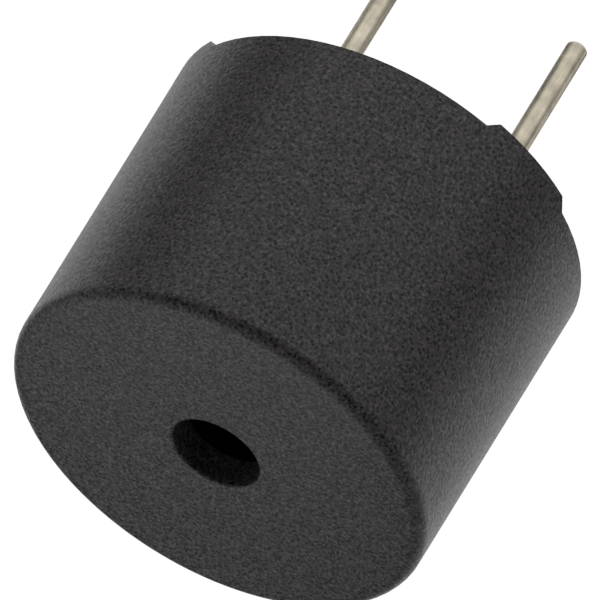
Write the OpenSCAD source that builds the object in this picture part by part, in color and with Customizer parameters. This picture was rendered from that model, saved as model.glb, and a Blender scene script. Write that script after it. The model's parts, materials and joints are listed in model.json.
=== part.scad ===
// Round magnetic buzzer with two wire pins.
// Origin: centre of the seating plane under the feet. +Z points out of the sound face.
// The pins stand along X, and one foot lies on +X.

/* [Case] */
// Outside diameter at the open rim
case_d = 12; // [11.5:0.1:16]
// Height from the seating plane to the sound face
case_h = 9.5; // [8.8:0.1:14]
// Thickness of the side wall round the magnet system
case_wall = 0.7; // [0.5:0.05:0.9]
// Draft of the outside wall in degrees, narrowing toward the sound face
case_draft = 0.3; // [0:0.1:1]
// Thickness of the sound face
face_t = 0.9; // [0.6:0.1:1.5]
// Radius of the rounded edge round the sound face
edge_r = 0.35; // [0.2:0.05:0.8]
// Width of the inner shoulder that the support ring meets
shoulder_w = 0.4; // [0.25:0.05:0.6]
// Radius in the upper corner of the resonance chamber
chamber_r = 0.4; // [0.1:0.05:0.8]
// Diameter of the sound port
port_d = 2.5; // [1.2:0.1:4]
// Rounding of the port's outer edge
port_round = 0.08; // [0.02:0.01:0.2]

/* [Feet] */
// Height of the feet that hold the rim off the board
foot_h = 0.3; // [0.1:0.05:0.5]
// Width of a foot at half its height
foot_w = 3; // [2:0.1:4.5]
// Angle from the foot on +X to each of the other two
foot_spread = 116; // [90:1:130]
// Slope of a foot's ends from the seating plane, in degrees
foot_slope = 45; // [30:5:90]

/* [Pins] */
// Distance between the pin centres
pin_pitch = 5; // [4:0.1:7.6]
// Pin diameter
pin_d = 0.6; // [0.4:0.05:0.8]
// Length of a pin below the seating plane
pin_len = 7.1; // [3:0.1:15]
// Rounding of a pin's tip
pin_round = 0.12; // [0.05:0.01:0.19]
// Diameter of the thick root that stands in the seal and the board
pin_root_d = 1; // [0.9:0.05:1.3]

/* [Base] */
// Depth of the seal's surface inside the rim
seal_recess = 0.25; // [0.2:0.05:0.6]
// Cover of seal below the tallest part on the board
seal_cover = 0.2; // [0.1:0.05:0.6]
// Height to which the seal creeps along the pins and the wall
seal_creep = 0.15; // [0.05:0.01:0.19]
// Thickness of the circuit board
board_t = 0.6; // [0.4:0.1:1]
// Depth of a pin's thick root behind the seal's surface
root_depth = 0.1; // [0.05:0.05:0.3]
// Depth of a pin's inner end below the board's upper face
pin_end_depth = 0.1; // [0.05:0.05:0.3]
// Height and width of the solder fillet round a pin
solder_w = 0.4; // [0.2:0.05:0.6]
// Diameter of the solder dot on a coil lead
lead_solder_d = 0.7; // [0.5:0.05:0.9]

/* [Magnet system] */
// Thickness of the yoke plate
yoke_t = 0.8; // [0.5:0.1:1.2]
// Height of the ring magnet
magnet_h = 2.2; // [1.6:0.1:2.6]
// Gap between the coil and the ring magnet
magnet_gap = 0.5; // [0.2:0.05:0.8]
// Diameter of the pole
core_d = 2.2; // [1.6:0.1:2.8]
// Diameter of the pole's spigot in the yoke plate
spigot_d = 1.4; // [0.8:0.1:1.5]
// Share of the room for winding and ring magnet that the winding fills
winding_share = 0.51; // [0.35:0.01:0.65]
// Height of the pole above the winding
pole_proud = 0.3; // [0.1:0.05:0.8]
// Diameter of the winding's wire over its enamel
wire_d = 0.14; // [0.1:0.02:0.2]
// Height at which the leads leave the winding
lead_rise = 0.5; // [0.3:0.05:1]
// Angle between neighbouring coil leads
lead_step = 35; // [30:1:50]

/* [Diaphragm] */
// Thickness of the diaphragm
diaphragm_t = 0.08; // [0.05:0.01:0.15]
// Width of the diaphragm's seat on the support ring
seat_w = 0.45; // [0.3:0.05:0.6]
// Height of the diaphragm above the ring magnet
diaphragm_lift = 0.45; // [0.35:0.05:0.8]
// Gap between the pole and the diaphragm
air_gap = 0.25; // [0.1:0.05:0.5]
// Wall of the support ring outside the diaphragm
lip_wall = 0.35; // [0.25:0.05:0.5]
// Height of that wall above the diaphragm's seat
lip_h = 0.35; // [0.2:0.05:0.6]
// Diameter of the armature
armature_d = 4.4; // [3:0.1:6]
// Thickness of the armature
armature_t = 0.4; // [0.2:0.05:0.6]

/* [Hidden] */

$fn = 96;
// Overlap of a cutting shape past the face that it cuts
cut = 0.2;

// Radial clearances of the pieces that fit into each other
ring_fit = 0.05;
board_fit = 0.05;
diaphragm_fit = 0.06;
magnet_fit = 0.1;
core_fit = 0.02;
lead_fit = 0.1;
pin_fit = 0.05;
coil_fit = 0.05;
lead_gap = 0.01;
// Distance by which a fillet's hollow face stays off the surfaces that it joins
fillet_lip = 0.04;

// Chip parts of standard size on the board's lower face
transistor_l = 2.9;
transistor_w = 1.3;
transistor_h = 0.95;
transistor_draft = 7;
transistor_reach = 2.4;
transistor_lead_w = 0.4;
transistor_lead_t = 0.12;
transistor_lead_pitch = 1.9;
transistor_foot = 0.3;
body_stand = 0.06;
resistor_l = 1.6;
resistor_w = 0.8;
resistor_h = 0.45;
resistor_cap = 0.3;
resistor_cap_t = 0.03;
part_gap = 0.3;
// Distance of the transistor's single lead from the board's edge
transistor_inset = 1.15;

// Radii, from the wall inward
case_r = case_d / 2;
bore_r = case_r - case_wall;
chamber_wall_r = bore_r - shoulder_w;
ring_r = bore_r - ring_fit;
recess_r = ring_r - lip_wall;
diaphragm_r = recess_r - diaphragm_fit;
ring_hole_r = diaphragm_r - seat_w;
magnet_r = ring_hole_r - magnet_fit;
core_r = core_d / 2;
coil_hole_r = core_r + coil_fit;
winding_room = magnet_r - magnet_gap - coil_hole_r;
coil_r = coil_hole_r + winding_share * winding_room;
magnet_hole_r = coil_r + magnet_gap;
board_r = bore_r - board_fit;
pin_r = pin_d / 2;
pin_root_r = pin_root_d / 2;
lead_at_r = coil_r + wire_d / 2 + lead_gap;

// Heights, from the seating plane upward
rim_z = foot_h;
seal_z = rim_z + seal_recess;
board_z = seal_z + seal_cover + transistor_h + body_stand;
yoke_z = board_z + board_t;
magnet_z = yoke_z + yoke_t;
diaphragm_z = magnet_z + magnet_h + diaphragm_lift;
pole_z = diaphragm_z - air_gap;
coil_top_z = pole_z - pole_proud;
shoulder_z = diaphragm_z + lip_h;
armature_z = diaphragm_z + diaphragm_t;
chamber_z = case_h - face_t;

// The leads leave the coil on +Y, with the tap in the middle
LEAD_ANGLES = [90 - lead_step, 90, 90 + lead_step];
transistor_y = transistor_inset + transistor_reach / 2 - board_r;
resistor_y = lead_at_r + lead_solder_d / 2 + part_gap + resistor_w / 2;

// Corner fillet with legs r and a hollow face, whose thin ends are blunted by the lip
module concave_fillet(r, lip) {
    difference() {
        polygon([[0, 0], [r, 0], [0, r]]);
        translate([r, r]) circle(r - lip);
    }
}

// Outer half section of the case, with the drafted wall tangent to the edge rounding
module case_outline() {
    edge_z = case_h - edge_r;
    edge_at_r = case_r - edge_z * tan(case_draft) - edge_r / cos(case_draft);
    wall_top = [edge_at_r + edge_r * cos(case_draft), edge_z + edge_r * sin(case_draft)];
    polygon([[0, 0], [case_r, 0], wall_top, [edge_at_r, edge_z], [edge_at_r, case_h], [0, case_h]]);
    translate([edge_at_r, edge_z]) circle(edge_r);
}

// Half section of the case's inside: bore, chamber with rounded corner, and port
module case_hollow() {
    port_r = port_d / 2;
    translate([0, -cut]) square([bore_r, shoulder_z + cut]);
    square([chamber_wall_r, chamber_z - chamber_r]);
    square([chamber_wall_r - chamber_r, chamber_z]);
    translate([chamber_wall_r - chamber_r, chamber_z - chamber_r]) circle(chamber_r);
    square([port_r, case_h + cut]);
    translate([port_r, case_h]) mirror([0, 1]) concave_fillet(port_round, 0);
}

// Prism along +X with the foot's sloped ends, wider toward the rim
module foot_block() {
    spread = (foot_h / 2 + cut) / tan(foot_slope);
    low = foot_w / 2 - spread;
    high = foot_w / 2 + spread;
    rotate([90, 0, 90]) linear_extrude(case_d)
        polygon([[-low, -cut], [low, -cut], [high, foot_h + cut], [-high, foot_h + cut]]);
}

// Space under the plain rim between the feet
module rim_relief() {
    difference() {
        translate([0, 0, -cut]) cylinder(r = case_r + cut, h = rim_z + cut);
        for (turn = [0, foot_spread, -foot_spread]) rotate(turn) foot_block();
    }
}

module case() {
    color([0.14, 0.14, 0.145])
    difference() {
        rotate_extrude() difference() {
            case_outline();
            case_hollow();
        }
        rim_relief();
    }
}

// Pin with a rounded tip and a thick root, centred on its own axis
module pin() {
    root_z = seal_z + root_depth;
    top_z = yoke_z - pin_end_depth;
    rotate_extrude() {
        translate([0, root_z]) square([pin_root_r, top_z - root_z]);
        translate([0, pin_round - pin_len]) square([pin_r, root_z + pin_len - pin_round]);
        translate([0, -pin_len]) square([pin_r - pin_round, pin_round]);
        translate([pin_r - pin_round, pin_round - pin_len]) intersection() {
            circle(pin_round);
            translate([0, -pin_round]) square(pin_round);
        }
    }
}

module pin_positive() {
    color([0.75, 0.72, 0.66]) translate([pin_pitch / 2, 0, 0]) pin();
}

module pin_negative() {
    color([0.75, 0.72, 0.66]) translate([-pin_pitch / 2, 0, 0]) pin();
}

// Solder fillet between a pin and the board's lower face
module pin_solder() {
    translate([0, 0, board_z]) mirror([0, 0, 1]) rotate_extrude()
        translate([pin_root_r, 0]) concave_fillet(solder_w, fillet_lip);
}

module pin_solder_positive() {
    color([0.7, 0.71, 0.72]) translate([pin_pitch / 2, 0, 0]) pin_solder();
}

module pin_solder_negative() {
    color([0.7, 0.71, 0.72]) translate([-pin_pitch / 2, 0, 0]) pin_solder();
}

// Places a child where one of the coil leads runs
module at_lead(turn) {
    rotate(turn) translate([lead_at_r, 0, 0]) children();
}

// Straight stretch of enamelled wire from the winding to the board's lower face
module coil_lead(turn) {
    low_z = board_z - lead_solder_d / 4;
    color([0.72, 0.4, 0.2]) at_lead(turn) translate([0, 0, low_z])
        cylinder(d = wire_d, h = magnet_z + lead_rise - low_z);
}

module coil_lead_drive() {
    coil_lead(LEAD_ANGLES[0]);
}

module coil_lead_common() {
    coil_lead(LEAD_ANGLES[1]);
}

module coil_lead_sense() {
    coil_lead(LEAD_ANGLES[2]);
}

// Half round drop of solder that holds a lead's end
module solder_drop() {
    translate([0, 0, board_z]) intersection() {
        sphere(d = lead_solder_d);
        translate([0, 0, -lead_solder_d]) cylinder(d = 2 * lead_solder_d, h = lead_solder_d);
    }
}

module lead_solder(turn) {
    color([0.7, 0.71, 0.72]) difference() {
        at_lead(turn) solder_drop();
        coil_lead(turn);
    }
}

module lead_solder_drive() {
    lead_solder(LEAD_ANGLES[0]);
}

module lead_solder_common() {
    lead_solder(LEAD_ANGLES[1]);
}

module lead_solder_sense() {
    lead_solder(LEAD_ANGLES[2]);
}

// Gull wing lead of the transistor, pointing along +Y, with its foot on the board
module gull_lead() {
    half = transistor_reach / 2;
    mid_z = transistor_h / 2;
    inside = transistor_w / 2 - transistor_lead_t;
    knee = half - transistor_foot;
    translate([-transistor_lead_w / 2, 0, 0]) rotate([90, 0, 90]) linear_extrude(transistor_lead_w)
        polygon([
            [inside, mid_z], [knee, mid_z], [knee, transistor_lead_t], [half, transistor_lead_t],
            [half, 0], [knee - transistor_lead_t, 0],
            [knee - transistor_lead_t, mid_z - transistor_lead_t], [inside, mid_z - transistor_lead_t]
        ]);
}

// Section of the moulded body, whose sides draft inward from the parting line at half height
module body_section(width) {
    half = width / 2;
    inset = transistor_h / 2 * tan(transistor_draft);
    polygon([
        [inset - half, 0], [half - inset, 0], [half, transistor_h / 2],
        [half - inset, transistor_h], [inset - half, transistor_h], [-half, transistor_h / 2]
    ]);
}

module transistor() {
    color([0.1, 0.1, 0.1]) translate([0, transistor_y, board_z]) mirror([0, 0, 1]) {
        translate([0, 0, body_stand]) intersection() {
            rotate([90, 0, 90]) linear_extrude(transistor_l, center = true) body_section(transistor_w);
            rotate([90, 0, 0]) linear_extrude(transistor_w, center = true) body_section(transistor_l);
        }
        for (side = [-1, 1]) translate([side * transistor_lead_pitch / 2, 0, 0]) gull_lead();
        rotate(180) gull_lead();
    }
}

module resistor() {
    cap_h = resistor_h + 2 * resistor_cap_t;
    color([0.2, 0.2, 0.22]) translate([0, resistor_y, board_z]) mirror([0, 0, 1]) {
        translate([-resistor_l / 2, -resistor_w / 2, resistor_cap_t])
            cube([resistor_l, resistor_w, resistor_h]);
        for (side = [-1, 1])
            translate([side * (resistor_l - resistor_cap) / 2, 0, cap_h / 2])
                cube([resistor_cap, resistor_w, cap_h], center = true);
    }
}

// Everything on the board's lower face, round which the seal is cast
module sealed_parts() {
    pin_positive();
    pin_negative();
    pin_solder_positive();
    pin_solder_negative();
    transistor();
    resistor();
    for (turn = LEAD_ANGLES) at_lead(turn) solder_drop();
}

module base_seal() {
    color([0.09, 0.09, 0.09]) difference() {
        union() {
            translate([0, 0, seal_z]) cylinder(r = bore_r, h = board_z - seal_z);
            translate([0, 0, seal_z]) mirror([0, 0, 1]) rotate_extrude()
                translate([bore_r, 0]) mirror([1, 0]) concave_fillet(seal_creep, fillet_lip);
            for (side = [-1, 1]) translate([side * pin_pitch / 2, 0, seal_z]) mirror([0, 0, 1])
                rotate_extrude() translate([pin_r, 0]) concave_fillet(seal_creep, fillet_lip);
        }
        sealed_parts();
    }
}

module circuit_board() {
    color([0.2, 0.36, 0.2]) difference() {
        translate([0, 0, board_z]) cylinder(r = board_r, h = board_t);
        for (side = [-1, 1]) translate([side * pin_pitch / 2, 0, board_z - cut])
            cylinder(r = pin_root_r + pin_fit, h = board_t + 2 * cut);
        for (turn = LEAD_ANGLES) at_lead(turn) translate([0, 0, board_z - cut])
            cylinder(r = wire_d / 2 + lead_fit, h = board_t + 2 * cut);
    }
}

module yoke_plate() {
    color([0.62, 0.63, 0.65]) difference() {
        translate([0, 0, yoke_z]) cylinder(r = magnet_r, h = yoke_t);
        translate([0, 0, yoke_z - cut]) cylinder(r = spigot_d / 2 + core_fit, h = yoke_t + 2 * cut);
        for (turn = LEAD_ANGLES) at_lead(turn) translate([0, 0, yoke_z - cut])
            cylinder(r = wire_d / 2 + lead_fit, h = yoke_t + 2 * cut);
    }
}

module pole_core() {
    color([0.62, 0.63, 0.65]) {
        translate([0, 0, yoke_z]) cylinder(d = spigot_d, h = yoke_t + cut);
        translate([0, 0, magnet_z]) cylinder(r = core_r, h = pole_z - magnet_z);
    }
}

// Winding with its outer layer of turns as half round ridges
module coil() {
    coil_h = coil_top_z - magnet_z;
    turns = floor(coil_h / wire_d);
    pitch = coil_h / turns;
    core_of_ridges = coil_r - wire_d / 3;
    color([0.72, 0.4, 0.2]) rotate_extrude() {
        translate([coil_hole_r, magnet_z]) square([core_of_ridges - coil_hole_r, coil_h]);
        for (turn = [0 : turns - 1])
            translate([coil_r - wire_d / 2, magnet_z + (turn + 0.5) * pitch]) circle(d = wire_d);
    }
}

module ring_magnet() {
    color([0.2, 0.2, 0.21]) difference() {
        translate([0, 0, magnet_z]) cylinder(r = magnet_r, h = magnet_h);
        translate([0, 0, magnet_z - cut]) cylinder(r = magnet_hole_r, h = magnet_h + 2 * cut);
    }
}

// Stands on the board, clears the yoke and magnet, and carries the diaphragm in a recess
module support_ring() {
    color([0.16, 0.16, 0.17]) rotate_extrude() difference() {
        translate([ring_hole_r, yoke_z]) square([ring_r - ring_hole_r, shoulder_z - yoke_z]);
        translate([ring_hole_r - cut, diaphragm_z]) square([recess_r - ring_hole_r + cut, lip_h + cut]);
    }
}

module diaphragm() {
    color([0.7, 0.71, 0.73]) translate([0, 0, diaphragm_z]) cylinder(r = diaphragm_r, h = diaphragm_t);
}

module armature() {
    color([0.62, 0.63, 0.65]) translate([0, 0, armature_z]) cylinder(d = armature_d, h = armature_t);
}

case();
base_seal();
circuit_board();
transistor();
resistor();
pin_positive();
pin_negative();
pin_solder_positive();
pin_solder_negative();
yoke_plate();
pole_core();
coil();
coil_lead_drive();
coil_lead_common();
coil_lead_sense();
lead_solder_drive();
lead_solder_common();
lead_solder_sense();
ring_magnet();
support_ring();
diaphragm();
armature();
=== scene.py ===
"""Studio picture of the round buzzer, built on its CAD frame."""

import json
import math
from functools import partial

import bpy
from mathutils import Matrix, Vector


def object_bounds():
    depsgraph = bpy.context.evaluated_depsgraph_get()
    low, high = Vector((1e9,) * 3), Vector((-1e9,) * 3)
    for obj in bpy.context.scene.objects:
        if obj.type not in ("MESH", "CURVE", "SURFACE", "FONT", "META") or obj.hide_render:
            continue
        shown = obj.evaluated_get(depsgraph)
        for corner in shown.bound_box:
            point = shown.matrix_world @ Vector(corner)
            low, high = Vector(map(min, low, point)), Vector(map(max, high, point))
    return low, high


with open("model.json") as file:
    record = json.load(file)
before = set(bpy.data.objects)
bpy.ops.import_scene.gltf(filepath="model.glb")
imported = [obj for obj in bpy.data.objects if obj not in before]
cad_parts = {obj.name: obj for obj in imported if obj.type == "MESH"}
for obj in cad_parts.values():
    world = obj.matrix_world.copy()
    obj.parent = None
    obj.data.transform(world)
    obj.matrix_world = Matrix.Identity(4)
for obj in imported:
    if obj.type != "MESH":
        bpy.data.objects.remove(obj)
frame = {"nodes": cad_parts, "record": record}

CAD_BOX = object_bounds()
MM = 0.001

# Tints over a grey, as shares of its red, green and blue
NEUTRAL = (1.0, 1.0, 1.0)
WARM = (1.1, 1.0, 0.8)
SOOT = (1.1, 1.0, 1.06)
OPAQUE = 1.0

# Range in which most values of a noise lie
NOISE_LOW = 0.3
NOISE_HIGH = 0.7


def linear(grey, tint=NEUTRAL):
    """Colour of a grey in linear light with a tint over it."""
    return (*(grey * share for share in tint), OPAQUE)


WHITE = linear(1.0)
BOARD_DARK = (0.025, 0.09, 0.03, OPAQUE)
BOARD_LIGHT = (0.07, 0.19, 0.075, OPAQUE)
COPPER_DARK = (0.32, 0.09, 0.03, OPAQUE)
COPPER_LIGHT = (0.62, 0.25, 0.1, OPAQUE)


class Shader:
    """Node tree of one material, with the few links that all the finishes share."""

    def __init__(self, name):
        self.material = bpy.data.materials.new(name)
        self.material.use_nodes = True
        self.nodes = self.material.node_tree.nodes
        self.links = self.material.node_tree.links
        self.surface = self.nodes["Principled BSDF"]
        self.place = self.nodes.new("ShaderNodeTexCoord")

    def noise(self, grain_mm, detail=2.0, fine=0.5, stretch=None):
        """Noise with grains of that size on the part, drawn out along an axis if asked."""
        texture = self.nodes.new("ShaderNodeTexNoise")
        texture.inputs["Scale"].default_value = 1 / (grain_mm * MM)
        texture.inputs["Detail"].default_value = detail
        texture.inputs["Roughness"].default_value = fine
        spot = self.place.outputs["Object"]
        if stretch:
            mapping = self.nodes.new("ShaderNodeMapping")
            mapping.inputs["Scale"].default_value = stretch
            self.links.new(spot, mapping.inputs["Vector"])
            spot = mapping.outputs["Vector"]
        self.links.new(spot, texture.inputs["Vector"])
        return texture.outputs["Fac"]

    def pits_and_painted_shade(self, grain_mm):
        """Height over irregular cells of that size, lowest at the middle of each, which also serves as
        the mask of painted shade in the pits.
        """
        texture = self.nodes.new("ShaderNodeTexVoronoi")
        texture.inputs["Scale"].default_value = 1 / (grain_mm * MM)
        self.links.new(self.place.outputs["Object"], texture.inputs["Vector"])
        return texture.outputs["Distance"]

    def colour(self, factor, dark, light, middle=None, low=NOISE_LOW, high=NOISE_HIGH):
        """Base colour that runs from dark to light with the factor, by way of a middle one if given."""
        ramp = self.nodes.new("ShaderNodeValToRGB")
        first, last = ramp.color_ramp.elements
        first.position = low
        first.color = dark
        last.position = high
        last.color = light
        if middle:
            ramp.color_ramp.elements.new((low + high) / 2).color = middle
        self.links.new(factor, ramp.inputs["Fac"])
        self.links.new(ramp.outputs["Color"], self.surface.inputs["Base Color"])

    def darken(self, factor, low, high, darkest):
        """Darkens the base colour where the factor is small, in full at low and not at all at high."""
        shade = self.nodes.new("ShaderNodeMapRange")
        shade.inputs["From Min"].default_value = low
        shade.inputs["From Max"].default_value = high
        shade.inputs["To Min"].default_value = darkest
        self.links.new(factor, shade.inputs["Value"])
        mix = self.nodes.new("ShaderNodeVectorMath")
        mix.operation = "MULTIPLY"
        base = self.surface.inputs["Base Color"]
        self.links.new(base.links[0].from_socket, mix.inputs[0])
        self.links.new(shade.outputs["Result"], mix.inputs[1])
        self.links.new(mix.outputs["Vector"], base)

    def roughness(self, factor, at_low, at_high):
        """Roughness that runs from one value to the other as the factor, a noise, rises."""
        spread = self.nodes.new("ShaderNodeMapRange")
        spread.inputs["From Min"].default_value = NOISE_LOW
        spread.inputs["From Max"].default_value = NOISE_HIGH
        spread.inputs["To Min"].default_value = at_low
        spread.inputs["To Max"].default_value = at_high
        self.links.new(factor, spread.inputs["Value"])
        self.links.new(spread.outputs["Result"], self.surface.inputs["Roughness"])

    def relief(self, factor, depth_mm, strength=1.0):
        """Fine relief on top of whatever relief is there already."""
        bump = self.nodes.new("ShaderNodeBump")
        bump.inputs["Distance"].default_value = depth_mm * MM
        bump.inputs["Strength"].default_value = strength
        before = self.surface.inputs["Normal"]
        if before.is_linked:
            self.links.new(before.links[0].from_socket, bump.inputs["Normal"])
        self.links.new(factor, bump.inputs["Height"])
        self.links.new(bump.outputs["Normal"], before)


def moulded_plastic(name, grey, grain_mm, depth_mm, smooth, rough, tint=NEUTRAL, ior=1.45):
    """Matt moulded plastic with an eroded grain, pitted all over with painted shade at the pits'
    middles, and faint cloudiness.
    """
    cloud_mm = 20 * grain_mm
    pit_mm = 1.6 * grain_mm
    dark = linear(0.4 * grey, tint)
    light = linear(2.6 * grey, tint)
    shader = Shader(name)
    grain = shader.noise(grain_mm, detail=3.0, fine=0.8)
    cloud = shader.noise(cloud_mm)
    pits_and_painted_shade = shader.pits_and_painted_shade(pit_mm)
    shader.colour(grain, dark, light, middle=linear(grey, tint), low=0.36, high=0.66)
    # Painted shade: the base colour goes to black at the pits' middles, where the relief is lowest
    shader.darken(pits_and_painted_shade, low=0.15, high=0.45, darkest=0.0)
    shader.roughness(grain, at_low=rough, at_high=smooth)
    shader.relief(cloud, depth_mm, strength=0.4)
    shader.relief(pits_and_painted_shade, depth_mm)
    shader.surface.inputs["IOR"].default_value = ior
    return shader.material


def drawn_metal(name, dark, light, smooth, rough, tint=NEUTRAL, stretch=None):
    """Metal with cloudy plating and a fine grain, drawn out into lines along an axis if asked."""
    shader = Shader(name)
    lines = shader.noise(grain_mm=0.05, stretch=stretch)
    cloud = shader.noise(grain_mm=0.4, detail=4.0)
    shader.colour(cloud, linear(dark, tint), linear(light, tint))
    shader.roughness(lines, at_low=smooth, at_high=rough)
    shader.relief(lines, depth_mm=0.002)
    shader.surface.inputs["Metallic"].default_value = 1.0
    return shader.material


def cast_resin(name, grey):
    """Glossy cast resin with a slightly wavy skin and a few dull patches."""
    dark = linear(0.7 * grey)
    light = linear(1.6 * grey)
    shader = Shader(name)
    wave = shader.noise(grain_mm=1.6)
    dust = shader.noise(grain_mm=0.12, detail=4.0)
    shader.colour(dust, dark, light)
    shader.roughness(wave, at_low=0.14, at_high=0.3)
    shader.relief(wave, depth_mm=0.03)
    shader.relief(dust, depth_mm=0.002)
    return shader.material


def laminate(name):
    """Board laminate whose glass weave shows through the lacquer."""
    thread_mm = 0.25
    thread_depth_mm = 0.006
    shader = Shader(name)
    cloth = shader.noise(thread_mm, stretch=(1.0, 6.0, 1.0))
    weave = shader.noise(thread_mm, stretch=(6.0, 1.0, 1.0))
    shader.colour(cloth, BOARD_DARK, BOARD_LIGHT)
    shader.roughness(weave, at_low=0.3, at_high=0.5)
    shader.relief(cloth, thread_depth_mm)
    shader.relief(weave, thread_depth_mm)
    return shader.material


def enamelled_wire(name):
    """Copper under a clear enamel that darkens it in patches."""
    shader = Shader(name)
    cloud = shader.noise(grain_mm=0.5, detail=4.0)
    fine = shader.noise(grain_mm=0.04)
    shader.colour(cloud, COPPER_DARK, COPPER_LIGHT)
    shader.roughness(fine, at_low=0.25, at_high=0.4)
    shader.relief(fine, depth_mm=0.002)
    shader.surface.inputs["Metallic"].default_value = 1.0
    shader.surface.inputs["Coat Weight"].default_value = 0.8
    shader.surface.inputs["Coat Roughness"].default_value = 0.15
    return shader.material


# Finish of each material slot in the record
ALONG_PIN = (1.0, 1.0, 0.06)
ALONG_STRIP = (0.06, 1.0, 1.0)
FINISHES = {
    "case_plastic": partial(
        moulded_plastic, grey=0.05, grain_mm=0.085, depth_mm=0.008, smooth=0.3, rough=0.52,
        tint=SOOT, ior=1.36),
    "seal_epoxy": partial(cast_resin, grey=0.012),
    "board_laminate": laminate,
    "chip_mould": partial(
        moulded_plastic, grey=0.018, grain_mm=0.05, depth_mm=0.006, smooth=0.5, rough=0.65),
    "chip_ceramic": partial(
        moulded_plastic, grey=0.04, grain_mm=0.06, depth_mm=0.004, smooth=0.3, rough=0.45),
    "pin_tin": partial(
        drawn_metal, dark=0.44, light=0.67, smooth=0.37, rough=0.52, tint=WARM, stretch=ALONG_PIN),
    "solder": partial(drawn_metal, dark=0.5, light=0.68, smooth=0.18, rough=0.3),
    "soft_iron": partial(
        drawn_metal, dark=0.4, light=0.55, smooth=0.3, rough=0.45, stretch=ALONG_STRIP),
    "copper_wire": enamelled_wire,
    "ferrite": partial(
        moulded_plastic, grey=0.04, grain_mm=0.07, depth_mm=0.006, smooth=0.35, rough=0.5),
    "ring_plastic": partial(
        moulded_plastic, grey=0.03, grain_mm=0.1, depth_mm=0.006, smooth=0.4, rough=0.5),
    "spring_steel": partial(
        drawn_metal, dark=0.5, light=0.66, smooth=0.2, rough=0.32, stretch=ALONG_STRIP),
}
materials = {slot: finish(slot) for slot, finish in FINISHES.items()}
for subpart in frame["record"]["subparts"]:
    solid = frame["nodes"][subpart["node"]]
    solid.data.materials.clear()
    solid.data.materials.append(materials[subpart["material_slot"]])

# Viewing directions of the photo: the face's normal leans away from the view by LEAN,
# the pin line is turned by TURN about it, and the picture is rolled by ROLL
LEAN = math.radians(58.1)
TURN = math.radians(4.45)
ROLL = math.radians(121.73)
UP = Vector((0, 0, 1))
PIN_LINE = Vector((math.cos(TURN), math.sin(TURN), 0))
FRONT = Vector((math.sin(TURN), -math.cos(TURN), 0))
TO_CAMERA = math.cos(LEAN) * UP + math.sin(LEAN) * FRONT
ACROSS = math.cos(LEAN) * FRONT - math.sin(LEAN) * UP
PICTURE_RIGHT = -math.sin(ROLL) * PIN_LINE - math.cos(ROLL) * ACROSS
PICTURE_UP = -math.cos(ROLL) * PIN_LINE + math.sin(ROLL) * ACROSS

# Framing: what the picture's width spans at the part, and how far its middle lies from the face's
PICTURE_WIDTH = 15.45 * MM
AIM_RIGHT = 2.185 * MM
AIM_UP = 3.965 * MM
FACE_CENTRE = Vector((0, 0, CAD_BOX[1].z))
AIM = FACE_CENTRE + AIM_RIGHT * PICTURE_RIGHT + AIM_UP * PICTURE_UP
CAMERA_DISTANCE = 0.5
SENSOR_WIDTH_MM = 36
FARTHEST_SEEN = 10


def place(name, data, at, right, up, back):
    """Object at a point with its three axes along the given directions."""
    thing = bpy.data.objects.new(name, data)
    bpy.context.scene.collection.objects.link(thing)
    axes = Matrix((right, up, back)).transposed().to_4x4()
    thing.matrix_world = Matrix.Translation(at) @ axes
    return thing


camera = bpy.data.cameras.new("camera")
camera.sensor_width = SENSOR_WIDTH_MM
camera.lens = SENSOR_WIDTH_MM * CAMERA_DISTANCE / PICTURE_WIDTH
camera.clip_end = FARTHEST_SEEN
bpy.context.scene.camera = place(
    "camera", camera, AIM + CAMERA_DISTANCE * TO_CAMERA, PICTURE_RIGHT, PICTURE_UP, TO_CAMERA)


def stage_material(name, grey, roughness=0.5, glow=0.0):
    """Plain material of the stage, which may glow white by itself."""
    material = bpy.data.materials.new(name)
    material.use_nodes = True
    surface = material.node_tree.nodes["Principled BSDF"]
    surface.inputs["Base Color"].default_value = linear(grey)
    surface.inputs["Roughness"].default_value = roughness
    surface.inputs["Emission Color"].default_value = WHITE
    surface.inputs["Emission Strength"].default_value = glow
    return material


def sheet(name, corners, material):
    """Object of one flat face with four corners."""
    mesh = bpy.data.meshes.new(name)
    mesh.from_pydata(corners, [], [(0, 1, 2, 3)])
    mesh.materials.append(material)
    thing = bpy.data.objects.new(name, mesh)
    bpy.context.scene.collection.objects.link(thing)
    return thing


# Pale floor far enough below the pins that the part's shadow stays out of the picture
FLOOR_DROP = 60 * MM
FLOOR_SIZE = 6.0
PIN_TIPS_Z = CAD_BOX[0].z
FLOOR_Z = PIN_TIPS_Z - FLOOR_DROP
paper = stage_material("floor_paper", grey=0.9, roughness=0.9, glow=0.92)
half = FLOOR_SIZE / 2
floor_corners = ((-half, -half), (half, -half), (half, half), (-half, half))
floor = sheet("floor", [(x, y, FLOOR_Z) for x, y in floor_corners], paper)

# Low wall round the floor, up to the pins' tips, that closes the view from near the floor.
# Only the camera sees it, so it changes no reflection.
WALL_RADIUS = 0.36
WALL_SIDES = 64
bpy.ops.mesh.primitive_cylinder_add(
    vertices=WALL_SIDES, radius=WALL_RADIUS, depth=FLOOR_DROP, end_fill_type="NOTHING",
    location=(0, 0, PIN_TIPS_Z - FLOOR_DROP / 2))
wall = bpy.context.object
wall.name = "wall"
wall.data.materials.append(paper)
wall.visible_diffuse = False
wall.visible_glossy = False
wall.visible_shadow = False

# Dark cards give the round sides, the rounded edge and the pins their darker flanks.
# Right is the pin line's direction and left is against it.
felt = stage_material("card_felt", grey=0.02)


def card(name, middle, along, reach, low, high):
    """Upright dark card that the camera doesn't see, over a stretch along a level direction."""
    near, far = reach
    spots = ((near, low), (far, low), (far, high), (near, high))
    board = sheet(name, [middle + step * along + height * UP for step, height in spots], felt)
    board.visible_camera = False


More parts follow.
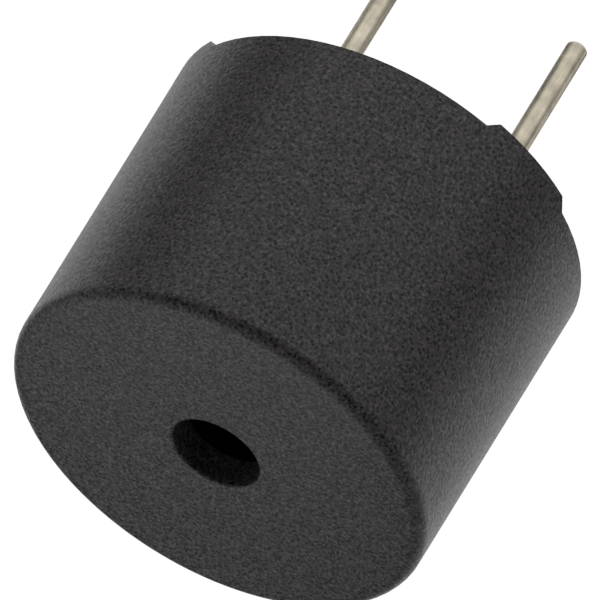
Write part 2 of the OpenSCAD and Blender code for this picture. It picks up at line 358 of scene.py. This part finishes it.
SIDE_AWAY = 60 * MM
SIDE_TOP = -3 * MM
card("card_left", -SIDE_AWAY * PIN_LINE, FRONT, reach=(1 * MM, 50 * MM), low=FLOOR_Z, high=SIDE_TOP)
card("card_right", SIDE_AWAY * PIN_LINE, FRONT, reach=(-21 * MM, 19 * MM), low=FLOOR_Z, high=SIDE_TOP)
FRONT_AWAY = 100 * MM
card("card_front", FRONT_AWAY * FRONT, PIN_LINE, reach=(-70 * MM, 70 * MM), low=-23 * MM, high=20 * MM)

# Low cards close behind the pins, under what the case reflects, darken the pins' outlines
PIN_CARD_AWAY = 12 * MM
PIN_CARD_LOW = -30 * MM
PIN_CARD_TOP = -11 * MM
card("pin_card_left", -PIN_CARD_AWAY * PIN_LINE, FRONT,
     reach=(-18 * MM, -4 * MM), low=PIN_CARD_LOW, high=PIN_CARD_TOP)
card("pin_card_right", PIN_CARD_AWAY * PIN_LINE, FRONT,
     reach=(-18 * MM, -6 * MM), low=PIN_CARD_LOW, high=PIN_CARD_TOP)


def panel(name, lean_deg, away, width, depth, radiance, swing_deg=0, aside=0.0):
    """Soft rectangular light that faces the part and that the camera doesn't see.

    It leans back from straight above the face and swings from the back toward the left.
    It stands so far away from the face's centre, and so far aside along its own width.
    """
    light = bpy.data.lights.new(name, "AREA")
    light.shape = "RECTANGLE"
    light.size = width
    light.size_y = depth
    light.energy = radiance * math.pi * width * depth
    lean = math.radians(lean_deg)
    swing = math.radians(swing_deg)
    across = math.cos(swing) * PIN_LINE - math.sin(swing) * FRONT
    rear = -math.cos(swing) * FRONT - math.sin(swing) * PIN_LINE
    back = math.cos(lean) * UP + math.sin(lean) * rear
    spot = FACE_CENTRE + away * back + aside * across
    lamp = place(name, light, spot, across, back.cross(across), back)
    lamp.visible_camera = False


panel("soft_box", lean_deg=38, away=0.026, aside=0.019, width=0.05, depth=0.021, radiance=1.05)
panel("top_fill", lean_deg=-5, away=0.12, width=0.2, depth=0.12, radiance=0.45)
panel("edge_fill", lean_deg=70, swing_deg=58, away=0.06, width=0.085, depth=0.035, radiance=0.4)

# Faint light from the room all round
ROOM_GLOW = 0.1
world = bpy.data.worlds.new("studio")
world.use_nodes = True
room = world.node_tree.nodes["Background"]
room.inputs["Color"].default_value = WHITE
room.inputs["Strength"].default_value = ROOM_GLOW
bpy.context.scene.world = world
bpy.context.scene.view_settings.view_transform = "Standard"
